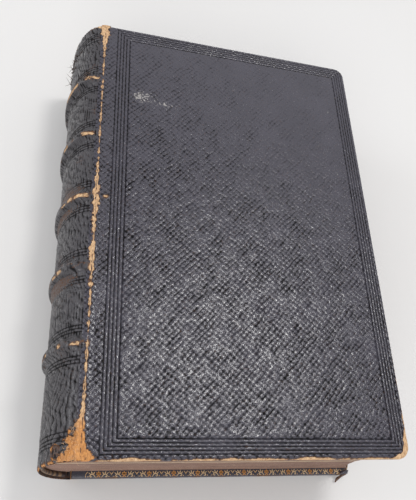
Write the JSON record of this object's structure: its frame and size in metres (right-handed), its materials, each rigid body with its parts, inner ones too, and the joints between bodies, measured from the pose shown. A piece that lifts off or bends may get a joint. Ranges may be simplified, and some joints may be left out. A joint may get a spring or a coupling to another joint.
{
  "type": "prayer book",
  "caption": "Small thick leather-bound prayer book with a rounded spine, raised bands and hinged covers that open; leaves turn with them.",
  "frame": {"origin": "under the middle of the closed book, on the surface it lies on", "axes": "+X from spine to fore edge, +Y from tail to head, +Z from back cover to front cover"},
  "size_m": [0.0988, 0.14, 0.0385],
  "materials": {
    "cover_leather": "crossed grain, worn semi-gloss",
    "spine_leather": "crossed grain, worn semi-gloss",
    "board": "rope-fibre millboard, matte",
    "endpaper": "aged cream paper, matte",
    "paper": "aged paper, matte, dull gilt edges",
    "cord": "hemp cord, matte",
    "lining": "pasted paper, matte",
    "thread": "linen thread, matte",
    "endband": "silk thread, satin"
  },
  "bodies": {
    "back_board": {"back_board_core": "board", "back_cover_leather": "cover_leather", "back_pastedown": "endpaper", "back_cord_slips": "cord"},
    "lower_block": {"lower_section_01": "paper", "lower_section_02": "paper", "lower_section_03": "paper", "lower_section_04": "paper", "lower_section_05": "paper", "lower_section_06": "paper", "lower_section_07": "paper", "lower_section_08": "paper", "lower_section_09": "paper", "lower_section_10": "paper", "lower_sewing_thread": "thread", "spine_leather": "spine_leather", "spine_lining": "lining", "sewing_cord_1": "cord", "sewing_cord_2": "cord", "sewing_cord_3": "cord", "sewing_cord_4": "cord", "sewing_cord_5": "cord", "head_band": "endband", "tail_band": "endband"},
    "upper_block": {"upper_section_01": "paper", "upper_section_02": "paper", "upper_section_03": "paper", "upper_section_04": "paper", "upper_section_05": "paper", "upper_section_06": "paper", "upper_section_07": "paper", "upper_section_08": "paper", "upper_section_09": "paper", "upper_section_10": "paper", "upper_sewing_thread": "thread"},
    "front_board": {"front_board_core": "board", "front_cover_leather": "cover_leather", "front_pastedown": "endpaper", "front_cord_slips": "cord"},
    "back_free_endpaper": {"back_free_endpaper": "endpaper"},
    "back_flyleaf": {"back_flyleaf": "paper"},
    "front_free_endpaper": {"front_free_endpaper": "endpaper"},
    "front_flyleaf": {"front_flyleaf": "paper"},
    "middle_leaf_1": {"middle_leaf_1": "paper"},
    "middle_leaf_2": {"middle_leaf_2": "paper"},
    "middle_leaf_3": {"middle_leaf_3": "paper"},
    "middle_leaf_4": {"middle_leaf_4": "paper"}
  },
  "joints": [
    {"name": "back_hinge", "type": "hinge", "parent": "back_board", "child": "lower_block", "pos_m": [-0.0386, 0, 0], "axis": [0, -1, 0], "range_deg": [0, 60]},
    {"name": "middle_opening", "type": "hinge", "parent": "lower_block", "child": "upper_block", "pos_m": [-0.0473, 0, 0.01925], "axis": [0, -1, 0], "range_deg": [0, 105], "deforming": ["spine_leather", "spine_lining", "sewing_cord_1", "sewing_cord_2", "sewing_cord_3", "sewing_cord_4", "sewing_cord_5", "head_band", "tail_band"]},
    {"name": "front_hinge", "type": "hinge", "parent": "upper_block", "child": "front_board", "pos_m": [-0.0386, 0, 0.0385], "axis": [0, -1, 0], "range_deg": [0, 178]},
    {"name": "front_free_endpaper_turn", "type": "hinge", "parent": "upper_block", "child": "front_free_endpaper", "pos_m": [-0.038, 0, 0.03587], "axis": [0, -1, 0], "range_deg": [0, 89]},
    {"name": "back_free_endpaper_turn", "type": "hinge", "parent": "lower_block", "child": "back_free_endpaper", "pos_m": [-0.038, 0, 0.00263], "axis": [0, -1, 0], "range_deg": [-30, 0]},
    {"name": "front_flyleaf_turn", "type": "hinge", "parent": "upper_block", "child": "front_flyleaf", "pos_m": [-0.038, 0, 0.03562], "axis": [0, -1, 0], "range_deg": [0, 44.5]},
    {"name": "back_flyleaf_turn", "type": "hinge", "parent": "lower_block", "child": "back_flyleaf", "pos_m": [-0.038, 0, 0.00287], "axis": [0, -1, 0], "range_deg": [-15, 0]},
    {"name": "middle_leaf_1_turn", "type": "hinge", "parent": "lower_block", "child": "middle_leaf_1", "pos_m": [-0.0473, 0, 0.01925], "axis": [0, -1, 0], "range_deg": [0, 21]},
    {"name": "middle_leaf_2_turn", "type": "hinge", "parent": "lower_block", "child": "middle_leaf_2", "pos_m": [-0.0473, 0, 0.01925], "axis": [0, -1, 0], "range_deg": [0, 42]},
    {"name": "middle_leaf_3_turn", "type": "hinge", "parent": "lower_block", "child": "middle_leaf_3", "pos_m": [-0.0473, 0, 0.01925], "axis": [0, -1, 0], "range_deg": [0, 63]},
    {"name": "middle_leaf_4_turn", "type": "hinge", "parent": "lower_block", "child": "middle_leaf_4", "pos_m": [-0.0473, 0, 0.01925], "axis": [0, -1, 0], "range_deg": [0, 84]}
  ],
  "couplings": [
    {"joint": "front_free_endpaper_turn", "follows": "front_hinge", "ratio": 0.5},
    {"joint": "back_free_endpaper_turn", "follows": "back_hinge", "ratio": -0.5},
    {"joint": "front_flyleaf_turn", "follows": "front_hinge", "ratio": 0.25},
    {"joint": "back_flyleaf_turn", "follows": "back_hinge", "ratio": -0.25},
    {"joint": "middle_leaf_1_turn", "follows": "middle_opening", "ratio": 0.2},
    {"joint": "middle_leaf_2_turn", "follows": "middle_opening", "ratio": 0.4},
    {"joint": "middle_leaf_3_turn", "follows": "middle_opening", "ratio": 0.6},
    {"joint": "middle_leaf_4_turn", "follows": "middle_opening", "ratio": 0.8}
  ]
}
